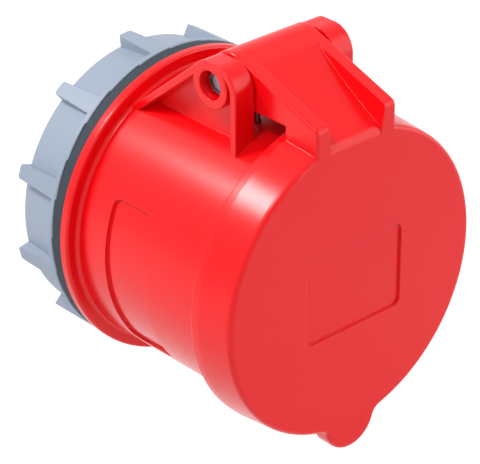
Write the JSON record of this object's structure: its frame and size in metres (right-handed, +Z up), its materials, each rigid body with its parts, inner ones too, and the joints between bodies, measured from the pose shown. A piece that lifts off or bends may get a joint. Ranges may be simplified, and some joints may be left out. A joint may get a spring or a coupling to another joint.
{
  "type": "panel socket",
  "caption": "Round red industrial panel socket with a sprung hinged lid, a flange with a gasket and a grey ring nut behind the panel.",
  "frame": {"origin": "on the socket axis, in the panel plane, which is the rear face of the flange gasket", "axes": "+X right seen from the lid, +Y into the panel, +Z up towards the hinge"},
  "size_m": [0.0696, 0.0761, 0.0861],
  "materials": {
    "red_plastic": "semi-gloss",
    "grey_plastic": "satin",
    "dark_rubber": "matt",
    "carrier_plastic": "satin",
    "steel": "brushed",
    "brass": "plain"
  },
  "bodies": {
    "socket": {"housing": "red_plastic", "hinge_pin": "steel", "pin_clip": "steel", "torsion_spring": "steel", "flange_gasket": "dark_rubber", "carrier_front": "carrier_plastic", "carrier_back": "carrier_plastic", "contact_pe": "brass", "contact_l1": "brass", "contact_l2": "brass", "contact_l3": "brass", "contact_n": "brass", "phase_spring_rings": "steel", "pe_spring_ring": "steel", "phase_terminal_screws": "steel", "pe_terminal_screw": "steel", "carrier_screws": "steel", "retaining_ring": "steel"},
    "lid": {"lid": "red_plastic", "lid_seal": "dark_rubber"},
    "ring_nut": {"ring_nut": "grey_plastic"}
  },
  "joints": [
    {"name": "lid_hinge", "type": "hinge", "parent": "socket", "child": "lid", "pos_m": [0, -0.02986, 0.04082], "axis": [-1, 0, 0], "range_deg": [0, 110], "stiffness_Nm_per_rad": 0.05, "springref_deg": -57.3, "deforming": ["torsion_spring"]},
    {"name": "ring_nut_turn", "type": "hinge", "parent": "socket", "child": "ring_nut", "pos_m": [0, 0.006, 0], "axis": [0, 1, 0], "continuous": true}
  ]
}
